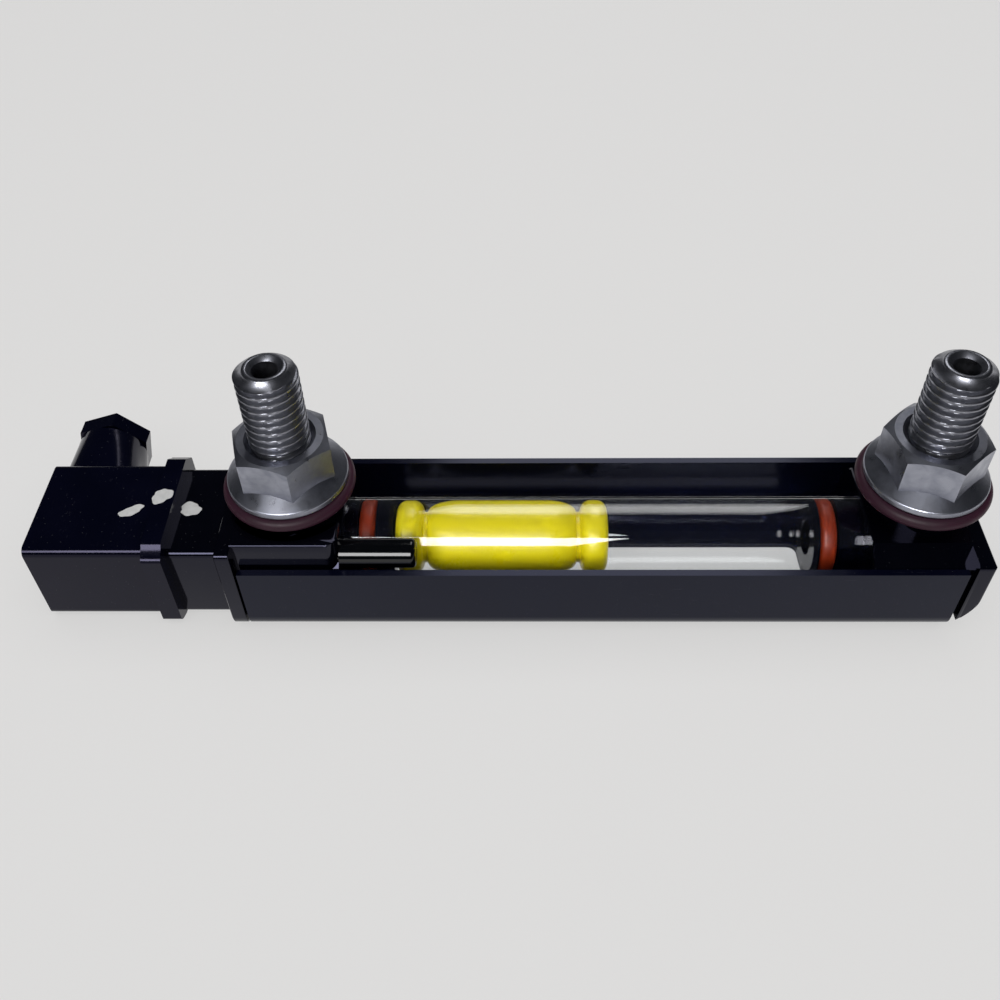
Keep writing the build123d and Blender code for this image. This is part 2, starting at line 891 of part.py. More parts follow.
with BuildPart() as gland_nut:
    with BuildSketch(across_plane(gland_nut_start)):
        RegularPolygon(gland_nut_width / 2, 6, major_radius=False, rotation=gland_nut_turn)
    extrude(amount=gland_nut_end - gland_nut_start)
    chamfer(gland_nut.edges().group_by(Axis.Y)[-1], gland_nut_edge)
    extrude(
        disc(across_plane(gland_nut_start), gland_stub_radius),
        amount=gland_stub_end - gland_nut_start,
        mode=Mode.SUBTRACT,
    )
    extrude(disc(across_plane(gland_nut_end), cable_hole_radius), amount=-gland_nut_wall, mode=Mode.SUBTRACT)
save(gland_nut, "gland_nut")

with BuildPart() as gland_washer:
    with BuildSketch(across_plane(seal_end)):
        Circle(gland_bore_radius - gland_clearance)
        Circle(cable_hole_radius, mode=Mode.SUBTRACT)
    extrude(amount=gland_washer_thickness)
save(gland_washer, "gland_washer")

with BuildPart() as gland_seal:
    with BuildSketch(across_plane(gland_stub_end - gland_bore_depth)):
        Circle(gland_bore_radius - gland_clearance)
        Circle(gland_seal_bore, mode=Mode.SUBTRACT)
    extrude(amount=gland_bore_depth - gland_washer_thickness)
save(gland_seal, "gland_seal")
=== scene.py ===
from math import pi, radians

import bpy
import numpy as np
from mathutils import Matrix, Vector


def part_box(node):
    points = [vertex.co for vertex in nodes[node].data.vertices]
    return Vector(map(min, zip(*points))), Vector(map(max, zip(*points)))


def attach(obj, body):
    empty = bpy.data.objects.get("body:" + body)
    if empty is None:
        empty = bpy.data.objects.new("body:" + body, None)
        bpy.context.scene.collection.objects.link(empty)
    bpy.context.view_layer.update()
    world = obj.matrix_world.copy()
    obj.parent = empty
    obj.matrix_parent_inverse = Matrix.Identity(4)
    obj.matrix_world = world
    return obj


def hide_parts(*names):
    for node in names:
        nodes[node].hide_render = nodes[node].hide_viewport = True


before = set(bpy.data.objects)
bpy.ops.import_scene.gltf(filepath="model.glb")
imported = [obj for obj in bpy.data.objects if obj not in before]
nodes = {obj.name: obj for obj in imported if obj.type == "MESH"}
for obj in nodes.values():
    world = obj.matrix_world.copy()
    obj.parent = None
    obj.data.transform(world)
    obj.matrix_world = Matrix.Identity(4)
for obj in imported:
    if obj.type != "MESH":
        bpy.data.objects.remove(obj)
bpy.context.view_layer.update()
mm = 0.001
print("frame loaded with", len(nodes), "nodes")


def addNode(tree, kind, settings=None, inputs=None):
    # one shader node: plain values go on its sockets, sockets of other nodes are linked to it
    node = tree.nodes.new(kind)
    for key, value in (settings or {}).items():
        setattr(node, key, value)
    for key, value in (inputs or {}).items():
        if isinstance(value, bpy.types.NodeSocket):
            tree.links.new(value, node.inputs[key])
        else:
            node.inputs[key].default_value = value
    return node


def noiseOn(tree, vector, size, detail=3.0, distortion=0.0):
    # noise whose blotches are about size millimetres wide
    values = {"Vector": vector, "Scale": 1 / (size * mm), "Detail": detail, "Distortion": distortion}
    return addNode(tree, "ShaderNodeTexNoise", inputs=values).outputs["Fac"]


def rangeOf(tree, value, fromLow, fromHigh, toLow, toHigh):
    # straight line from one pair of limits to another, held at its ends
    values = {0: value, 1: fromLow, 2: fromHigh, 3: toLow, 4: toHigh}
    return addNode(tree, "ShaderNodeMapRange", inputs=values).outputs[0]


def stretched(tree, vector, scale):
    return addNode(tree, "ShaderNodeMapping", inputs={"Vector": vector, "Scale": scale}).outputs[0]


def blendOf(tree, share, first, second):
    node = addNode(tree, "ShaderNodeMix", {"data_type": "RGBA"}, {0: share, 6: first, 7: second})
    return node.outputs[2]


def plusOf(tree, first, second, factor):
    # first + second x factor
    values = {0: second, 1: factor, 2: first}
    return addNode(tree, "ShaderNodeMath", {"operation": "MULTIPLY_ADD"}, values).outputs[0]


def bumpOn(tree, shader, height, rise):
    # surface relief rise millimetres high
    bump = addNode(tree, "ShaderNodeBump", inputs={"Height": height, "Distance": rise * mm, "Strength": 1.0})
    tree.links.new(bump.outputs["Normal"], shader.inputs["Normal"])


plainLook = {
    "colour": (0.5, 0.5, 0.5),
    "cloudColour": (0.4, 0.4, 0.4),
    "cloudSize": 12.0,
    "cloudShare": 0.6,
    "roughness": (0.3, 0.4),
    "grainSize": 0.35,
    "grainHeight": 0.004,
    "scratchStretch": (1.0, 1.0, 1.0),
    "scratchSize": 0.0,
    "scratchColour": (0.5, 0.5, 0.5),
    "scratchShare": 0.0,
    "scratchHeight": 0.0,
    "speckSize": 0.0,
    "speckColour": (0.3, 0.3, 0.3),
    "speckShare": 0.0,
    "metallic": 0.0,
    "ior": 1.5,
    "specular": 0.5,
    "specularTint": (1.0, 1.0, 1.0),
    "glowColour": (1.0, 0.993, 0.985),
    "glow": 0.0,
    "coat": 0.0,
    "coatRoughness": 0.1,
}


def finish(name, **changes):
    # colour = base with clouds, scratches and specks
    # roughness = clouds and grain, height = grain and scratches
    look = {**plainLook, **changes}
    material = bpy.data.materials.new(name)
    material.use_nodes = True
    tree = material.node_tree
    shader = tree.nodes["Principled BSDF"]
    place = addNode(tree, "ShaderNodeTexCoord").outputs["Object"]
    clouds = noiseOn(tree, place, look["cloudSize"], 5.0, 0.4)
    grain = noiseOn(tree, place, look["grainSize"], 3.0)
    colour = blendOf(
        tree,
        rangeOf(tree, clouds, 0.38, 0.66, 0.0, look["cloudShare"]),
        (*look["colour"], 1),
        (*look["cloudColour"], 1),
    )
    height = grain
    if look["scratchSize"]:
        lines = noiseOn(tree, stretched(tree, place, look["scratchStretch"]), look["scratchSize"], 2.0, 0.2)
        scratch = rangeOf(tree, lines, 0.66, 0.74, 0.0, 1.0)
        patches = noiseOn(tree, place, look["cloudSize"] * 0.8, 2.0)
        patch = rangeOf(tree, patches, 0.42, 0.62, 0.0, look["scratchShare"])
        share = addNode(tree, "ShaderNodeMath", {"operation": "MULTIPLY"}, {0: scratch, 1: patch}).outputs[0]
        colour = blendOf(tree, share, colour, (*look["scratchColour"], 1))
        height = plusOf(tree, height, share, -look["scratchHeight"] / look["grainHeight"])
    if look["speckSize"]:
        # cells eight speck widths wide, with a speck in the middle of each
        values = {"Vector": place, "Scale": 1 / (look["speckSize"] * 8 * mm), "Randomness": 1.0}
        cells = addNode(tree, "ShaderNodeTexVoronoi", inputs=values).outputs["Distance"]
        wobble = plusOf(tree, cells, grain, 0.1)
        speck = rangeOf(tree, wobble, 0.10, 0.14, look["speckShare"], 0.0)
        colour = blendOf(tree, speck, colour, (*look["speckColour"], 1))
    low, high = look["roughness"]
    mixed = plusOf(tree, clouds, grain, 0.35)
    tree.links.new(rangeOf(tree, mixed, 0.45, 0.9, low, high), shader.inputs["Roughness"])
    bumpOn(tree, shader, height, look["grainHeight"])
    tree.links.new(colour, shader.inputs["Base Color"])
    shader.inputs["Metallic"].default_value = look["metallic"]
    shader.inputs["IOR"].default_value = look["ior"]
    shader.inputs["Specular IOR Level"].default_value = look["specular"]
    shader.inputs["Specular Tint"].default_value = (*look["specularTint"], 1)
    shader.inputs["Emission Color"].default_value = (*look["glowColour"], 1)
    shader.inputs["Emission Strength"].default_value = look["glow"]
    shader.inputs["Coat Weight"].default_value = look["coat"]
    shader.inputs["Coat Roughness"].default_value = look["coatRoughness"]
    return material


def clearFinish(name, **look):
    # clear moulding: light passes through, with faint waves and wipe marks on its surface
    material = bpy.data.materials.new(name)
    material.use_nodes = True
    tree = material.node_tree
    shader = tree.nodes["Principled BSDF"]
    place = addNode(tree, "ShaderNodeTexCoord").outputs["Object"]
    waves = noiseOn(tree, stretched(tree, place, (0.25, 1.0, 1.0)), look["waveSize"], 2.0)
    smears = noiseOn(tree, place, look["smearSize"], 4.0, 0.6)
    low, high = look["roughness"]
    tree.links.new(rangeOf(tree, smears, 0.45, 0.75, low, high), shader.inputs["Roughness"])
    bumpOn(tree, shader, waves, look["waveHeight"])
    shader.inputs["Base Color"].default_value = (*look["colour"], 1)
    shader.inputs["Transmission Weight"].default_value = 1.0
    shader.inputs["IOR"].default_value = look["ior"]
    # lamps light what lies inside and behind
    seeThrough = addNode(tree, "ShaderNodeBsdfTransparent", inputs={"Color": (*look["colour"], 1)})
    rays = addNode(tree, "ShaderNodeLightPath")
    either = addNode(
        tree,
        "ShaderNodeMixShader",
        inputs={0: rays.outputs["Is Shadow Ray"], 1: shader.outputs[0], 2: seeThrough.outputs[0]},
    )
    tree.links.new(either.outputs[0], tree.nodes["Material Output"].inputs["Surface"])
    return material


coatedSheet = finish(
    "coatedSheet",
    colour=(0.0014, 0.0020, 0.0085),
    cloudColour=(0.0026, 0.0033, 0.0120),
    cloudSize=26.0,
    roughness=(0.12, 0.18),
    specular=0.27,
    specularTint=(0.62, 0.66, 1.0),
    grainSize=0.22,
    grainHeight=0.0016,
    scratchStretch=(0.12, 1.0, 1.0),
    scratchSize=0.5,
    scratchColour=(0.05, 0.05, 0.06),
    scratchShare=0.25,
    scratchHeight=0.002,
    speckSize=0.16,
    speckColour=(0.10, 0.10, 0.10),
    speckShare=0.25,
)
glossMoulding = finish(
    "glossMoulding",
    colour=(0.0007, 0.0009, 0.0030),
    cloudColour=(0.0016, 0.0019, 0.0044),
    cloudSize=9.0,
    roughness=(0.07, 0.12),
    specular=0.36,
    specularTint=(0.60, 0.60, 0.90),
    grainSize=0.5,
    grainHeight=0.0012,
    scratchStretch=(1.0, 0.2, 1.0),
    scratchSize=0.35,
    scratchColour=(0.03, 0.03, 0.035),
    scratchShare=0.2,
    scratchHeight=0.001,
    speckSize=0.14,
    speckColour=(0.12, 0.12, 0.12),
    speckShare=0.3,
)
satinMoulding = finish(
    "satinMoulding",
    colour=(0.0007, 0.0011, 0.0062),
    cloudColour=(0.0016, 0.0020, 0.0090),
    cloudSize=11.0,
    roughness=(0.11, 0.17),
    specular=0.24,
    specularTint=(0.70, 0.66, 1.0),
    grainSize=0.18,
    grainHeight=0.0030,
    scratchStretch=(1.0, 0.25, 1.0),
    scratchSize=0.4,
    scratchColour=(0.04, 0.04, 0.05),
    scratchShare=0.25,
    scratchHeight=0.002,
    speckSize=0.15,
    speckColour=(0.14, 0.14, 0.14),
    speckShare=0.3,
)
zincSteel = finish(
    "zincSteel",
    colour=(0.36, 0.370, 0.425),
    cloudColour=(0.24, 0.250, 0.300),
    cloudSize=2.6,
    cloudShare=0.8,
    roughness=(0.27, 0.42),
    grainSize=0.16,
    grainHeight=0.0035,
    scratchStretch=(1.0, 1.0, 0.3),
    scratchSize=0.3,
    scratchColour=(0.22, 0.22, 0.24),
    scratchShare=0.5,
    scratchHeight=0.004,
    metallic=1.0,
)
zincThread = finish(
    "zincThread",
    colour=(0.30, 0.305, 0.34),
    cloudColour=(0.18, 0.185, 0.215),
    cloudSize=1.4,
    cloudShare=0.8,
    roughness=(0.26, 0.42),
    grainSize=0.12,
    grainHeight=0.004,
    metallic=1.0,
)
maroonRubber = finish(
    "maroonRubber",
    colour=(0.044, 0.009, 0.024),
    cloudColour=(0.030, 0.007, 0.017),
    cloudSize=3.0,
    roughness=(0.42, 0.58),
    specular=0.25,
    grainSize=0.14,
    grainHeight=0.006,
)
orangeRubber = finish(
    "orangeRubber",
    colour=(0.22, 0.020, 0.003),
    cloudColour=(0.15, 0.014, 0.002),
    cloudSize=2.0,
    roughness=(0.30, 0.45),
    specular=0.25,
    grainSize=0.2,
    grainHeight=0.004,
)
blackRubber = finish(
    "blackRubber",
    colour=(0.012, 0.012, 0.013),
    cloudColour=(0.020, 0.020, 0.021),
    cloudSize=2.0,
    roughness=(0.5, 0.65),
    grainSize=0.15,
    grainHeight=0.006,
)
yellowFloat = finish(
    "yellowFloat",
    colour=(0.78, 0.655, 0.005),
    cloudColour=(0.72, 0.60, 0.004),
    cloudSize=8.0,
    roughness=(0.24, 0.36),
    grainSize=0.3,
    grainHeight=0.002,
    coat=0.2,
)
darkMagnet = finish(
    "darkMagnet",
    colour=(0.05, 0.05, 0.055),
    cloudColour=(0.03, 0.03, 0.032),
    cloudSize=1.5,
    roughness=(0.4, 0.6),
    grainSize=0.1,
    grainHeight=0.008,
    metallic=1.0,
)
blackTubing = finish(
    "blackTubing",
    colour=(0.0010, 0.0013, 0.0022),
    cloudColour=(0.0022, 0.0025, 0.0036),
    cloudSize=3.0,
    roughness=(0.05, 0.10),
    grainSize=0.4,
    grainHeight=0.0006,
    speckSize=0.1,
    speckColour=(0.10, 0.10, 0.10),
    speckShare=0.2,
)
tinnedBrass = finish(
    "tinnedBrass",
    colour=(0.60, 0.56, 0.47),
    cloudColour=(0.50, 0.46, 0.36),
    cloudSize=2.0,
    roughness=(0.25, 0.4),
    grainSize=0.12,
    grainHeight=0.002,
    metallic=1.0,
)
greyInsert = finish(
    "greyInsert",
    colour=(0.22, 0.22, 0.21),
    cloudColour=(0.18, 0.18, 0.175),
    cloudSize=4.0,
    roughness=(0.45, 0.6),
    grainSize=0.2,
    grainHeight=0.005,
)
redWire = finish(
    "redWire",
    colour=(0.35, 0.03, 0.02),
    cloudColour=(0.28, 0.02, 0.015),
    cloudSize=2.0,
    roughness=(0.35, 0.5),
    grainSize=0.2,
    grainHeight=0.003,
)
whitePaint = finish(
    "whitePaint",
    colour=(0.74, 0.74, 0.73),
    cloudColour=(0.60, 0.60, 0.59),
    cloudSize=1.2,
    roughness=(0.4, 0.6),
    grainSize=0.25,
    grainHeight=0.02,
)
clearTube = clearFinish(
    "clearTube",
    colour=(0.95, 0.96, 0.965),
    roughness=(0.0, 0.04),
    ior=1.49,
    waveSize=9.0,
    waveHeight=0.02,
    smearSize=6.0,
)
greenGlass = clearFinish(
    "greenGlass",
    colour=(0.55, 0.80, 0.62),
    roughness=(0.0, 0.04),
    ior=1.5,
    waveSize=2.0,
    waveHeight=0.01,
    smearSize=2.0,
)

finishOfNode = {
    "cover_channel": coatedSheet,
    "lower_end_block": glossMoulding,
    "upper_end_block": glossMoulding,
    "sight_tube": clearTube,
    "lower_tube_oring": orangeRubber,
    "upper_tube_oring": orangeRubber,
    "float_body": yellowFloat,
    "float_magnet": darkMagnet,
    "float_plug": yellowFloat,
    "reed_tube": blackTubing,
    "reed_capsule": greenGlass,
    "reed_leads": redWire,
    "lower_hollow_bolt": zincSteel,
    "upper_hollow_bolt": zincSteel,
    "lower_flange_nut": zincSteel,
    "upper_flange_nut": zincSteel,
    "lower_seal_ring": maroonRubber,
    "upper_seal_ring": maroonRubber,
    "lower_shank_oring": blackRubber,
    "upper_shank_oring": blackRubber,
    "connector_base": satinMoulding,
    "contact_pins": tinnedBrass,
    "profile_gasket": blackRubber,
    "plug_housing": satinMoulding,
    "terminal_insert": greyInsert,
    "terminal_screws": tinnedBrass,
    "plug_screw": zincSteel,
    "gland_nut": satinMoulding,
    "gland_washer": zincSteel,
    "gland_seal": blackRubber,
}
for nodeName, material in finishOfNode.items():
    slots = nodes[nodeName].data.materials
    slots.clear()
    slots.append(material)
print("finishes on", len(finishOfNode), "nodes")


def surfaceMesh(name, rows, material, body, sharpAngle=38, hollow=False):
    # rows of points round an axis, each row closed on itself, shut by one point at each end,
    # or, for a hollow piece, by joining the last row to the first
    count, around, _ = rows.shape
    poles = np.array([rows[0].mean(axis=0), rows[-1].mean(axis=0)])
    points = np.vstack([rows.reshape(-1, 3), poles])
    row, column = np.meshgrid(np.arange(count - (not hollow)), np.arange(around), indexing="ij")
    nextColumn, nextRow = (column + 1) % around, (row + 1) % count
    corners = [row * around + column, row * around + nextColumn]
    corners += [nextRow * around + nextColumn, nextRow * around + column]
    quads = np.stack(corners, axis=-1).reshape(-1, 4)
    ring = np.arange(0 if hollow else around)
    ringNext = (ring + 1) % around
    start = np.stack([np.full(len(ring), count * around), ringNext, ring], axis=1)
    last = (count - 1) * around
    end = np.stack([np.full(len(ring), count * around + 1), last + ring, last + ringNext], axis=1)
    # volume from the corner triangles tells which way the faces point
    triangles = np.vstack([quads[:, [0, 1, 2]], quads[:, [0, 2, 3]], start, end])
    a, b, c = (points[triangles[:, k]] for k in range(3))
    if np.einsum("ij,ij->i", a, np.cross(b, c)).sum() < 0:
        quads, start, end = quads[:, ::-1], start[:, ::-1], end[:, ::-1]
    if hollow:
        points = points[:-2]
    mesh = bpy.data.meshes.new(name)
    mesh.from_pydata(points.tolist(), [], quads.tolist() + start.tolist() + end.tolist())
    mesh.polygons.foreach_set("use_smooth", np.ones(len(mesh.polygons), bool))
    mesh.set_sharp_from_angle(angle=radians(sharpAngle))
    mesh.materials.append(material)
    piece = bpy.data.objects.new(name, mesh)
    bpy.context.scene.collection.objects.link(piece)
    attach(piece, body)
    return piece


def smoothStep(value):
    value = np.clip(value, 0, 1)
    return value * value * (3 - 2 * value)


# millimetres, heights from the floor
boltLook = {
    "around": 120,
    "crestRadius": 6.0,
    "threadDepth": 1.0,
    "pitch": 1.75,
    "crestPhase": 0.737,  # share of a pitch
    "rowsPerPitch": 16,
    "threadTop": 56.6,
    "coreRadius": 5.4,
    "sinkStart": 39.13,
    "coreBottom": 29.6,
    "socketWidth": 8.0,
    "socketDepth": 3.8,
    "headRadius": 10.0,
    "headFace": 0.2,
    "waistRadius": 4.9,
    "waist": (8.5, 9.5, 16.5, 17.5),  # narrow from the second place to the third
    "tipRadius": 4.4,
    "tipRound": 0.7,
    "tipHeight": 58.1,
    "mouthRadius": 3.3,
    "boreRadius": 2.5,
    "boreBottom": 9.0,
}


def threadHeight(heights, angles, look):
    # distance along one pitch, less the turn, gives a triangle wave with rounded crest and root
    along = (heights / look["pitch"] - angles / (2 * pi) - look["crestPhase"]) % 1.0
    wave = np.abs(2 * along - 1)
    return smoothStep((wave - 0.18) / 0.64)


def hollowBolt(name):
    look = boltLook
    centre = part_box(f"{name}_hollow_bolt")
    centreX = (centre[0].x + centre[1].x) / 2
    angles = np.arange(look["around"]) * 2 * pi / look["around"]
    crest = look["crestRadius"]
    face = look["headFace"]
    # socket and head, then shank and waist, up to the nut
    hexagon = look["socketWidth"] / 2 / np.cos((angles % (pi / 3)) - pi / 6)
    socketTop = face + look["socketDepth"]
    headEdge = look["headRadius"]
    lowWaist, waistStart, waistEnd, highWaist = look["waist"]
    flat = np.ones_like(angles)
    low = [
        (hexagon * 0.5, socketTop),
        (hexagon, socketTop),
        (hexagon, (socketTop + face) / 2),
        (hexagon, face + 0.25),
        (hexagon + 0.25, face),
        (flat * (headEdge - 0.25), face),
        (flat * headEdge, face + 0.05),
        (flat * crest, face + headEdge - crest),
        (flat * crest, lowWaist),
        (flat * look["waistRadius"], waistStart),
        (flat * look["waistRadius"], waistEnd),
        (flat * crest, highWaist),
        (flat * crest, look["coreBottom"]),
        (flat * look["coreRadius"], look["coreBottom"] + 0.1),
    ]
    radii = [np.array([radius for radius, _ in low])]
    heights = [np.repeat([[height] for _, height in low], look["around"], axis=1)]
    # thread, held inside the nut's countersink at its foot and run out at the tip
    rowCount = int((look["threadTop"] - look["sinkStart"]) / look["pitch"] * look["rowsPerPitch"])
    up = np.linspace(look["sinkStart"], look["threadTop"], rowCount)[:, None] + 0 * angles[None, :]
    turn = up * 0 + angles[None, :]
    body = crest - look["threadDepth"] * (1 - threadHeight(up, turn, look))
    sink = look["coreRadius"] + (up - look["sinkStart"]) - 0.02
    radii.append(np.minimum(body, sink))
    heights.append(up)
    # tip: straight chamfer, rounded shoulder and mouth of the bore
    top, tip, tipRound = look["tipHeight"], look["tipRadius"], look["tipRound"]
    quarter = np.linspace(0, pi / 2, 7)[1:, None]
    shoulderRadius = tip - tipRound + tipRound * np.cos(quarter)
    shoulderHeight = top - tipRound + tipRound * np.sin(quarter)
    mouth = [(look["mouthRadius"] + 0.1, top), (look["mouthRadius"], top - 0.05)]
    mouth += [(look["boreRadius"], top - 0.85), (look["boreRadius"], look["boreBottom"])]
    mouthRadius = np.array([[radius] for radius, _ in mouth])
    mouthHeight = np.array([[height] for _, height in mouth])
    chamferStart = np.array([[crest - 0.35]])
    tipRadii = np.vstack([chamferStart, shoulderRadius, mouthRadius])
    tipHeights = np.vstack([[[look["threadTop"] + 0.15]], shoulderHeight, mouthHeight])
    radii.append(tipRadii * flat[None, :])
    heights.append(tipHeights * flat[None, :])
    radius, height = np.vstack(radii), np.vstack(heights)
    rows = np.stack([radius * np.cos(angles), radius * np.sin(angles), height], axis=-1) * mm
    rows[..., 0] += centreX
    piece = surfaceMesh(f"{name}ThreadedBolt", rows, zincThread, "gauge")
    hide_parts(f"{name}_hollow_bolt")


for boltName in ("lower", "upper"):
    hollowBolt(boltName)
print("bolts threaded")

tubeLook = {
    "height": 10.9,
    "radius": 9.2,
    "bore": 8.15,
    "half": 54.8,
    "around": 128,
    "ringPlace": {"lower": 48.7, "upper": 46.3},
    "ringHalf": 1.7,
    "ringInner": 5.6,
    "ringRound": 1.2,
    "ringClear": 0.02,
    "edge": 0.15,
}


def turned(name, profile, material, body, around=128, hollow=False, sharpAngle=38):
    # turned piece on the tube's axis: profile of (place along X, radius)
    place, radius = np.array(profile, float).T
    angles = np.arange(around) * 2 * pi / around
    x = place[:, None] + 0 * angles
    y = radius[:, None] * np.cos(angles)
    z = tubeLook["height"] + radius[:, None] * np.sin(angles)
    return surfaceMesh(name, np.stack([x, y, z], axis=-1) * mm, material, body, sharpAngle, hollow)


def bend(centre, radius, first, last, count=7):
    # arc of a profile: angles in degrees, from the X direction
    angles = np.radians(np.linspace(first, last, count))
    return [(centre[0] + radius * np.cos(a), centre[1] + radius * np.sin(a)) for a in angles]


half, outer, bore = tubeLook["half"], tubeLook["radius"], tubeLook["bore"]
edge = tubeLook["edge"]
tubeProfile = [(-half, bore + 0.1), (-half, outer - edge), (-half + edge, outer), (half - edge, outer)]
tubeProfile += [(half, outer - edge), (half, bore + 0.1), (half - 0.1, bore), (-half + 0.1, bore)]
tube = turned("sightTubeMoulding", tubeProfile, clearTube, "gauge", hollow=True)
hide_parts("sight_tube")

for end, side in (("lower", -1), ("upper", 1)):
    # ring pressed to a rounded oblong between its groove and the tube
    middle, halfRing = side * tubeLook["ringPlace"][end], tubeLook["ringHalf"]
    low, high, corner = tubeLook["ringInner"], bore - tubeLook["ringClear"], tubeLook["ringRound"]
    ringProfile = bend((middle + halfRing - corner, low + corner), corner, -90, 0)
    ringProfile += bend((middle + halfRing - corner, high - corner), corner, 0, 90)
    ringProfile += bend((middle - halfRing + corner, high - corner), corner, 90, 180)
    ringProfile += bend((middle - halfRing + corner, low + corner), corner, 180, 270)
    ringPiece = turned(f"{end}TubeRing", ringProfile, orangeRubber, "gauge", hollow=True)
    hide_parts(f"{end}_tube_oring")

floatLook = {
    "start": -43.0,
    "length": 44.3,
    "radius": 7.85,
    "beadWidth": 5.6,
    "beadRound": 2.2,
    "grooveRadius": 5.4,
    "grooveWidth": 0.9,
    "shoulder": 6.5,
    "plugRadius": 3.55,
}


def floatProfile(look):
    # one half from the middle of the end face to the middle of the float, then its mirror image
    radius, curve = look["radius"], look["beadRound"]
    groove, wide = look["grooveRadius"], look["beadWidth"]
    half = [(0.35, 0.02), (0.35, look["plugRadius"] - 0.05), (0.0, look["plugRadius"] + 0.15)]
    half += bend((curve, radius - curve), curve, 180, 90, 9)
    half += bend((wide - curve, radius - curve), curve, 90, 0, 9)
    half += [(wide, groove + 0.3), (wide + 0.25, groove), (wide + look["grooveWidth"], groove)]
    # shoulder: quarter ellipse, square to the axis at the groove and level with it at the full radius
    start, rise = wide + look["grooveWidth"], radius - groove
    steps = np.linspace(0, 1, 13)[1:]
    share = np.sin(steps * pi / 2)
    along = start + look["shoulder"] * (1 - np.cos(steps * pi / 2))
    half += list(zip(along, groove + rise * share))
    half += [(start + look["shoulder"] + 0.6, radius)]
    first = [(look["start"] + x, r) for x, r in half]
    last = [(look["start"] + look["length"] - x, r) for x, r in reversed(half)]
    return first + last


floatPiece = turned("floatMoulding", floatProfile(floatLook), yellowFloat, "float", sharpAngle=50)
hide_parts("float_body", "float_plug", "float_magnet")
print("tube, rings and float made")

blockLook = {
    "spacing": 63.5,
    "face": 53.1,
    "halfWidth": 14.3,
    "bottom": 1.5,
    "top": 21.0,
    "lowRound": 3.2,
    "chamfer": 3.8,
    "bossRadius": 9.2,
    "bossTop": 26.9,
    "bossBottom": 18.9,
    "spigotRadius": 8.05,
    "spigotEnd": 43.3,
    "grooveRadius": 5.5,
    "grooveHalf": 1.9,
    "passage": 3.5,
    "passageDepth": 4.0,
    "spigotChamfer": 0.8,
    "spigotRoot": 1.0,
    "faceEdge": 0.25,
    "overlap": 0.5,
    "collarStart": {"lower": 74.1, "upper": 72.6},
}


def rimOutline(halfWidth, bottom, top, lowRound, topRound, topSteps=7):
    # closed outline across the gauge, (y, z): low corners round, top corners round or, with 2 steps, flat
    points = bend((halfWidth - lowRound, bottom + lowRound), lowRound, -90, 0, 9)
    points += bend((halfWidth - topRound, top - topRound), topRound, 0, 90, topSteps)
    points += bend((-halfWidth + topRound, top - topRound), topRound, 90, 180, topSteps)
    points += bend((-halfWidth + lowRound, bottom + lowRound), lowRound, 180, 270, 9)
    return np.array(points)


def drawnOut(name, outline, places, insets, material):
    # outline carried along X, pulled in by an inset at each place for the rounded end edges
    centre = (outline.min(axis=0) + outline.max(axis=0)) / 2
    reach = (outline.max(axis=0) - outline.min(axis=0)) / 2
    rows = []
    for place, inset in zip(places, insets):
        flat = centre + (outline - centre) * (1 - inset / reach)
        rows.append(np.column_stack([np.full(len(flat), place), flat]))
    return surfaceMesh(name, np.array(rows) * mm, material, "gauge", sharpAngle=32)


def upright(name, outline, levels, material):
    # outline (x, y) carried up through the levels
    rows = [np.column_stack([outline, np.full(len(outline), level)]) for level in levels]
    return surfaceMesh(name, np.array(rows) * mm, material, "gauge", sharpAngle=32)


def endBlock(end, side, collarStart):
    # block from its inner face into the collar, with the round boss on top and the spigot inside the tube
    look = blockLook
    outline = rimOutline(look["halfWidth"], look["bottom"], look["top"], look["lowRound"], look["chamfer"], 2)
    face, edge = look["face"], look["faceEdge"]
    places = side * np.array([face, face + edge, collarStart + look["overlap"]])
    body = drawnOut(f"{end}BlockBody", outline, places, (edge, 0.0, 0.0), glossMoulding)
    angles = np.arange(96) * 2 * pi / 96
    circleX = side * look["spacing"] + look["bossRadius"] * np.cos(angles)
    circle = np.column_stack([circleX, look["bossRadius"] * np.sin(angles)])
    upright(f"{end}BlockBoss", circle, (look["bossBottom"], look["bossTop"]), glossMoulding)
    groove, halfGroove, grooveRadius = tubeLook["ringPlace"][end], look["grooveHalf"], look["grooveRadius"]
    radius, tip, chamfer = look["spigotRadius"], look["spigotEnd"], look["spigotChamfer"]
    passage, depth, root = look["passage"], tip + look["passageDepth"], face + look["spigotRoot"]
    profile = [(depth, 0.05), (depth, passage), (tip + 0.3, passage), (tip, passage + 0.3)]
    profile += [(tip, radius - chamfer), (tip + chamfer, radius), (groove - halfGroove, radius)]
    profile += [(groove - halfGroove, grooveRadius), (groove + halfGroove, grooveRadius)]
    profile += [(groove + halfGroove, radius), (root, radius), (root, 0.05)]
    spigot = [(side * x, r) for x, r in profile]
    turned(f"{end}Spigot", spigot, glossMoulding, "gauge", sharpAngle=30)
    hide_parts(f"{end}_end_block")


endBlock("lower", -1, blockLook["collarStart"]["lower"])
endBlock("upper", 1, blockLook["collarStart"]["upper"])

capLook = {
    "start": 72.6,
    "end": 76.0,
    "halfWidth": 16.5,
    "top": 20.6,
    "lowRound": 4.5,
    "edge": 1.2,
    "endRound": 12.0,
    "rimRound": 0.6,
    "lowPart": 9.0,
}


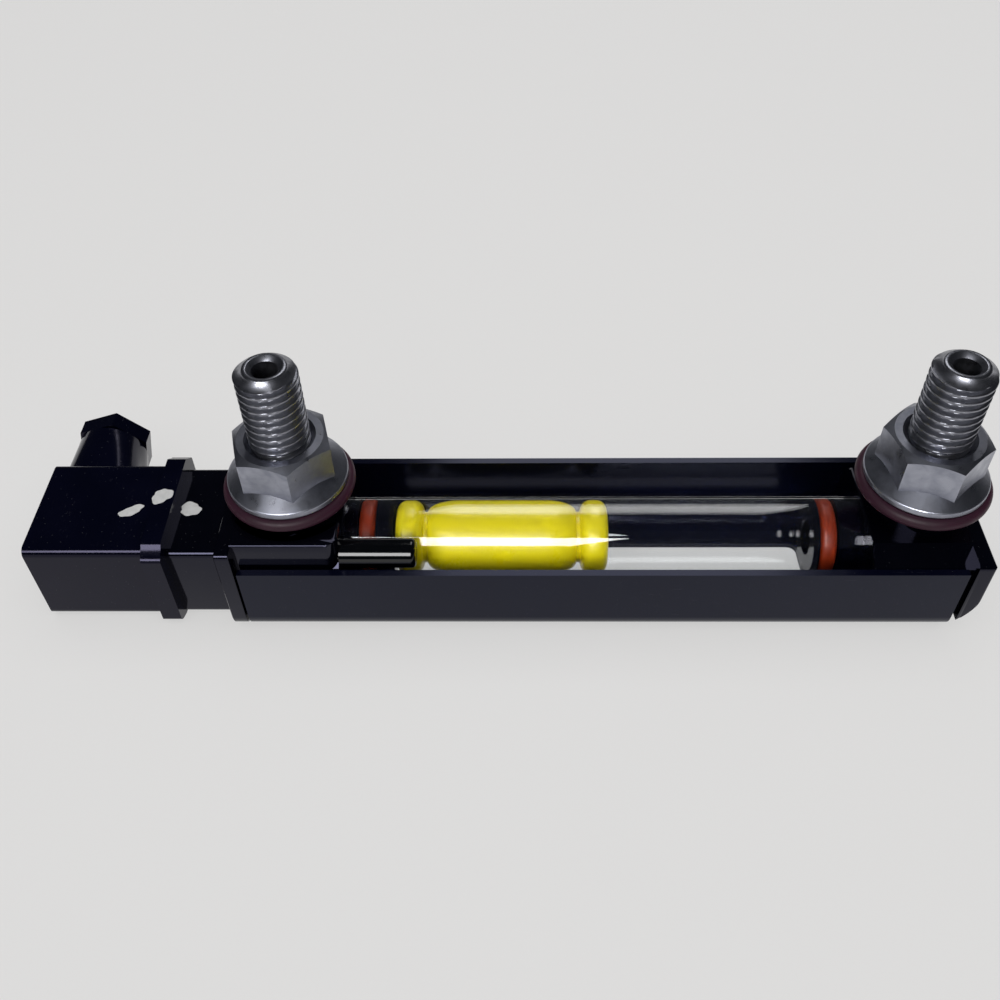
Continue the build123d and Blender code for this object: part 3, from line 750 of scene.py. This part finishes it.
def upperCap(look):
    # cap past the cover's upper end: its floor follows a circle of radius endRound up to the end face,
    # and its rim is a quarter circle of radius rimRound
    outline = rimOutline(look["halfWidth"], 0.0, look["top"], look["lowRound"], look["edge"])
    span, end, rim, width = look["end"] - look["start"], look["end"], look["rimRound"], look["halfWidth"]
    rows = []
    for share in np.concatenate([[0.0], np.linspace(0.02, 1.0, 25)]):
        place = look["start"] + span * np.sin(share * pi / 2)
        inward = place - (end - look["endRound"])
        low = look["endRound"] - np.sqrt(max(look["endRound"] ** 2 - inward**2, 0.0))
        inset = max(0.0, rim - (end - place))
        inset = rim - np.sqrt(max(rim**2 - inset**2, 0.0))
        flat = outline.copy()
        flat[:, 0] = np.clip(flat[:, 0], -width + inset, width - inset)
        flat[:, 1] = np.where(flat[:, 1] < look["lowPart"], np.maximum(flat[:, 1], low), flat[:, 1])
        flat[:, 1] = np.minimum(flat[:, 1], look["top"] - inset)
        rows.append(np.column_stack([np.full(len(flat), place), flat]))
    return surfaceMesh("upperCap", np.array(rows) * mm, glossMoulding, "gauge", sharpAngle=32)


upperCap(capLook)

# collar and neck past the cover's lower end
collarLook = {
    "start": -74.1,
    "end": -77.0,
    "halfWidth": 16.5,
    "top": 24.0,
    "lowRound": 4.5,
    "topRound": 1.2,
    "edge": 0.15,
}
neckLook = {"start": -76.5, "end": -88.5, "halfWidth": 12.3, "bottom": 0.6, "top": 20.0, "round": 1.5}
start, end, edge = collarLook["start"], collarLook["end"], collarLook["edge"]
collar = rimOutline(
    collarLook["halfWidth"], 0.0, collarLook["top"], collarLook["lowRound"], collarLook["topRound"]
)
places = (start, start - edge, end + edge, end)
drawnOut("lowerCollar", collar, places, (edge, 0, 0, edge), glossMoulding)
neck = rimOutline(
    neckLook["halfWidth"], neckLook["bottom"], neckLook["top"], neckLook["round"], neckLook["round"]
)
drawnOut("plugNeck", neck, (neckLook["start"], neckLook["end"]), (0, 0), glossMoulding)

housingLook = {
    "x": (-74.1, -53.1),
    "y": (-14.3, -7.5),
    "bottom": 15.0,
    "step": 22.2,
    "top": 24.7,
    "round": 2.5,
    "clear": 13.1,
    "thinnest": 0.8,
    "edge": 0.6,
}


def reedHousing(look):
    # raised side that carries the reed tube: above the step, a circle round the bolt clears the seal ring
    (lowX, highX), (lowY, highY), corner = look["x"], look["y"], look["round"]
    outline = [(lowX, lowY), (highX - corner, lowY)]
    outline += bend((highX - corner, lowY + corner), corner, -80, 0, 8) + [(highX, highY)]
    outline += [(x, highY) for x in np.linspace(highX - 0.3, lowX + 0.3, 40)] + [(lowX, highY)]
    outline = np.array(outline)
    x, y = outline.T
    reach = np.sqrt(np.maximum(look["clear"] ** 2 - (x + blockLook["spacing"]) ** 2, 0))
    limit = np.maximum(-reach, lowY + look["thinnest"])
    cleared = np.column_stack([x, np.where(y > lowY + corner, np.minimum(y, limit), y)])
    step, top, edge = look["step"], look["top"], look["edge"]
    rows = []
    for level, line in ((look["bottom"], outline), (step, outline), (step, cleared), (top - edge, cleared)):
        rows.append(np.column_stack([line, np.full(len(line), level)]))
    # top edge: quarter circle on the outer sides
    for angle in np.radians((30, 60, 90)):
        inset = edge * (1 - np.cos(angle))
        inX, inY = np.clip(cleared[:, 0], lowX, highX - inset), np.maximum(cleared[:, 1], lowY + inset)
        line = np.column_stack([inX, inY])
        rows.append(np.column_stack([line, np.full(len(line), top - edge + edge * np.sin(angle))]))
    return surfaceMesh("reedHousing", np.array(rows) * mm, glossMoulding, "gauge", sharpAngle=32)


reedHousing(housingLook)
print("end blocks made")

flangeLook = {"halfWidth": 14.9, "top": 22.9, "rim": 0.8, "edge": 0.7, "mouthClear": 0.1}


def connectorFlange(look):
    # flange of the plug connection: a copy of the node's mesh, its rim drawn outwards and upwards
    mesh = nodes["connector_base"].data.copy()
    _, reachY, reachZ = (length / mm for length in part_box("connector_base")[1])
    points = np.empty(len(mesh.vertices) * 3)
    mesh.vertices.foreach_get("co", points)
    points = points.reshape(-1, 3)
    outside = points[:, 0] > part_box("plug_housing")[1][0] - look["mouthClear"] * mm
    away, height = np.abs(points[outside, 1]) / mm, points[outside, 2] / mm
    inner, lower = reachY - look["rim"], reachZ - look["rim"]
    wider = np.interp(away, (0.0, inner, reachY), (0.0, inner, look["halfWidth"]))
    points[outside, 1] = np.sign(points[outside, 1]) * wider * mm
    points[outside, 2] = np.interp(height, (0.0, lower, reachZ), (0.0, lower, look["top"])) * mm
    mesh.vertices.foreach_set("co", points.ravel())
    mesh.update()
    flange = bpy.data.objects.new("connectorFlange", mesh)
    bpy.context.scene.collection.objects.link(flange)
    rounding = flange.modifiers.new("rounding", "BEVEL")
    rounding.width = look["edge"] * mm
    rounding.segments = 3
    rounding.limit_method = "ANGLE"
    rounding.angle_limit = radians(50)
    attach(flange, "gauge")
    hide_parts("connector_base")


connectorFlange(flangeLook)
print("flange made")

# dabs of white paint across the connection: place and half size in millimetres, turn in degrees
paintDabs = {
    "plugDab": {"over": "plug_housing", "place": (-97.5, -1.5), "size": (2.5, 1.3), "turn": 24, "wave": 0.4},
    "flangeDab": {"over": "connector_base", "place": (-91.1, 0.9), "size": (2.1, 2), "turn": 60, "wave": 2.1},
    "neckDab": {"over": "lower_end_block", "place": (-85.6, -0.1), "size": (2.3, 1.8), "turn": 5, "wave": 4},
}
dabHeights = {
    "plug_housing": 21.0,
    "connector_base": flangeLook["top"],
    "lower_end_block": neckLook["top"],
}


def paintDab(name, look):
    # flat drop: radius waves round the rim, height falls off as a quarter circle near the rim
    angles = np.arange(48) * 2 * pi / 48
    rim = 1 + 0.13 * np.sin(2 * angles + look["wave"]) + 0.09 * np.sin(3 * angles - look["wave"])
    rim += 0.05 * np.sin(7 * angles + 2 * look["wave"])
    share = np.array([0.3, 0.7, 0.96, 1.0, 0.985, 0.93, 0.8, 0.6, 0.35, 0.12])[:, None]
    lift = np.array([-0.03, -0.03, -0.03, 0.01, 0.045, 0.075, 0.09, 0.095, 0.09, 0.095])[:, None]
    lift = lift + 0.012 * np.sin(3 * angles)[None, :] * (share < 0.9) * (lift > 0)
    along = share * rim[None, :] * np.cos(angles) * look["size"][0]
    across = share * rim[None, :] * np.sin(angles) * look["size"][1]
    turn = radians(look["turn"])
    x = look["place"][0] + along * np.cos(turn) - across * np.sin(turn)
    y = look["place"][1] + along * np.sin(turn) + across * np.cos(turn)
    z = dabHeights[look["over"]] + lift
    rows = np.stack([x, y, z + 0 * x], axis=-1) * mm
    return surfaceMesh(name, rows, whitePaint, "gauge", sharpAngle=70)


for dabName, dabLook in paintDabs.items():
    paintDab(dabName, dabLook)
print("paint dabs added")

floorLook = {
    "half": 3.0,
    "drop": 0.2,
    "colour": (0.21, 0.208, 0.206),
    "cloudColour": (0.206, 0.204, 0.202),
    "glow": 0.555,
}
paleFloor = finish(
    "paleFloor",
    colour=floorLook["colour"],
    cloudColour=floorLook["cloudColour"],
    glow=floorLook["glow"],
    cloudSize=60.0,
    roughness=(0.75, 0.85),
    grainSize=1.0,
    grainHeight=0.01,
)
half = floorLook["half"]
floorMesh = bpy.data.meshes.new("floor")
corners = [(-half, -half, 0), (half, -half, 0), (half, half, 0), (-half, half, 0)]
floorMesh.from_pydata(corners, [], [(0, 1, 2, 3)])
floorMesh.materials.append(paleFloor)
floor = bpy.data.objects.new("floor", floorMesh)
floor.location.z = -floorLook["drop"] * mm
bpy.context.scene.collection.objects.link(floor)

worldLook = {"colour": (0.75, 0.80, 0.90), "strength": 0.035}
world = bpy.data.worlds.new("studio")
world.use_nodes = True
background = world.node_tree.nodes["Background"]
background.inputs["Color"].default_value = (*worldLook["colour"], 1)
background.inputs["Strength"].default_value = worldLook["strength"]
bpy.context.scene.world = world


def softBox(name, place, target, size, power, diffuse=True, glossy=True):
    # lamp of width x height metres: one without glossy lights surfaces but shows in no reflection
    lamp = bpy.data.lights.new(name, "AREA")
    lamp.shape = "RECTANGLE"
    lamp.size, lamp.size_y = size
    lamp.energy = power
    lampObject = bpy.data.objects.new(name, lamp)
    lampObject.location = place
    aim = Vector(target) - Vector(place)
    lampObject.rotation_euler = aim.to_track_quat("-Z", "Y").to_euler()
    lampObject.visible_diffuse = diffuse
    lampObject.visible_glossy = glossy
    lampObject.visible_transmission = glossy
    bpy.context.scene.collection.objects.link(lampObject)


softBox("overhead", (0.0, -0.1, 1.0), (0.0, 0.0, 0.0), (2.2, 1.8), 15.0, glossy=False)
softBox("frontCard", (-0.26, -0.82, 0.66), (0.0, 0.0, 0.02), (0.72, 0.42), 11.0, diffuse=False)
softBox("backCard", (0.08, 0.62, 0.75), (0.0, 0.0, 0.02), (0.40, 0.50), 1.7, diffuse=False)

cameraLook = {
    "place": (-0.01650, -0.14840, 0.18105),
    "right": (0.99977, 0.01316, -0.01670),
    "up": (0.00181, 0.73017, 0.68326),
    "forward": (-0.02119, 0.68314, -0.72998),
    "lens": 38.065,
}
cameraData = bpy.data.cameras.new("camera")
cameraData.sensor_width = 36.0
cameraData.lens = cameraLook["lens"]
cameraData.clip_start = 0.005
camera = bpy.data.objects.new("camera", cameraData)
right, up, forward = (Vector(cameraLook[key]) for key in ("right", "up", "forward"))
cameraTurn = Matrix((right, up, -forward)).transposed().to_4x4()
camera.matrix_world = Matrix.Translation(cameraLook["place"]) @ cameraTurn
bpy.context.scene.collection.objects.link(camera)
bpy.context.scene.camera = camera
bpy.context.scene.view_settings.view_transform = "Standard"

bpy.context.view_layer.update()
print("stage, lights and camera ready")
